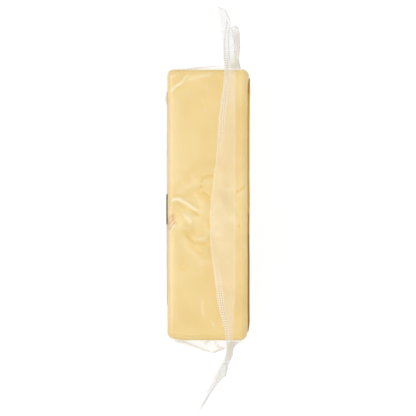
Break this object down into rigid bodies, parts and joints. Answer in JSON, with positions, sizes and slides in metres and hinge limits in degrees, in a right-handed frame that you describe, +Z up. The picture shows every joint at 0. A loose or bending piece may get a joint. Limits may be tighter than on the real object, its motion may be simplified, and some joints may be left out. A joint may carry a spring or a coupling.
{
  "type": "gruyere cheese block in clear film",
  "caption": "Pale yellow gruyere block sealed in clear flow-wrap film, lying on its plain narrow side, with a seal flap above, gathered end fins and a paper label on each wide face.",
  "frame": {"origin": "middle of the flat narrow side that the pack rests on", "axes": "+Z up, out of the narrow side with the seal flap; +Y along the block, towards the end whose fin is shown at the top of the picture; +X across the block, towards the front label"},
  "size_m": [0.0338, 0.1607, 0.0672],
  "materials": {
    "gruyere": "smooth rindless cheese, pale yellow, slightly translucent, under tight clear film",
    "clear_film": "clear glossy barrier film, whiter where it is sealed, knurled and creased",
    "front_paper": "glossy printed label, golden tan above and dark brown below, with plain bands",
    "back_paper": "satin white printed label with plain grey and dark bars"
  },
  "bodies": {
    "root": {"cheese": "gruyere", "film": "clear_film", "front_label": "front_paper", "back_label": "back_paper"}
  },
  "joints": []
}
